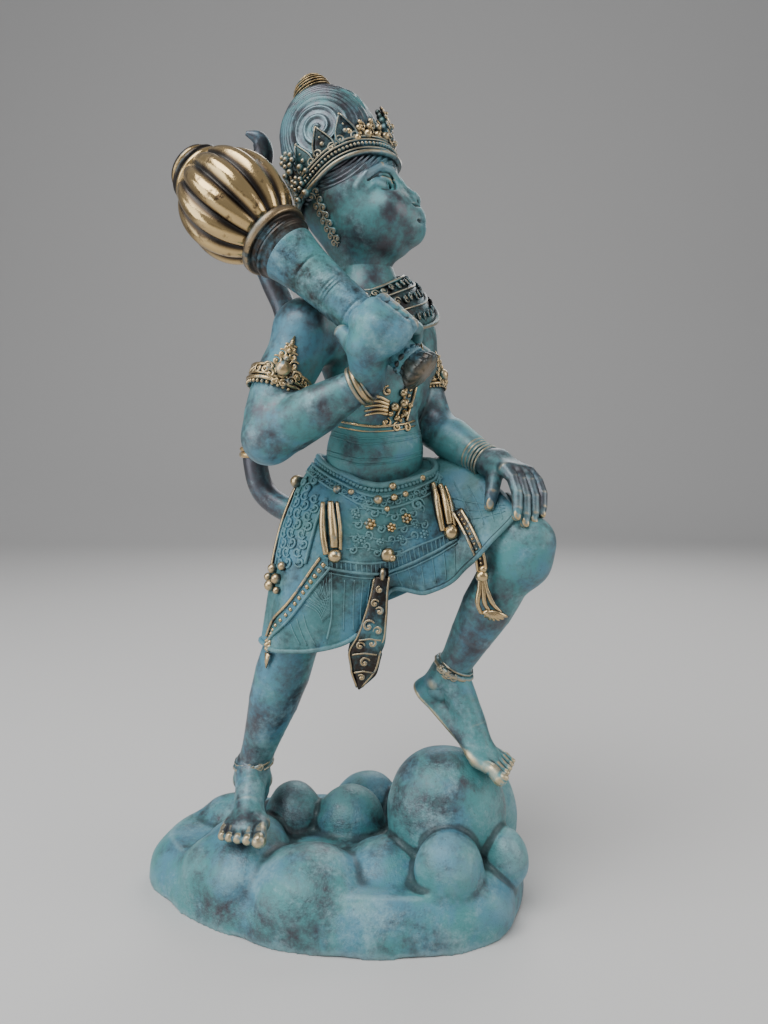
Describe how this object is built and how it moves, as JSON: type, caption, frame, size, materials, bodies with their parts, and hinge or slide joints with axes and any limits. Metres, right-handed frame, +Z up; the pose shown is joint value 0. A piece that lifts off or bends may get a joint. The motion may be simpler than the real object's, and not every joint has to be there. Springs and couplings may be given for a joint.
{
  "type": "bronze monkey deity statue",
  "caption": "Cast bronze monkey deity striding on a base of boulders, crowned, a fluted mace over one shoulder, tail raised behind, one hand on the lifted knee.",
  "frame": {"origin": "on the flat underside of the rock base, about its middle", "axes": "+Z up; the front of the statue looks along -Y; +X on the viewer's right, the side of the raised knee"},
  "size_m": [0.1499, 0.1047, 0.3],
  "materials": {
    "bronze_figure": "dark bronze with blue-green patina, rubbed to golden bronze on the mace, jewellery and toes",
    "bronze_rocks": "dark bronze with mottled turquoise and pale green patina, slightly rough"
  },
  "bodies": {
    "root": {"figure": "bronze_figure", "rock_base": "bronze_rocks"}
  },
  "joints": []
}
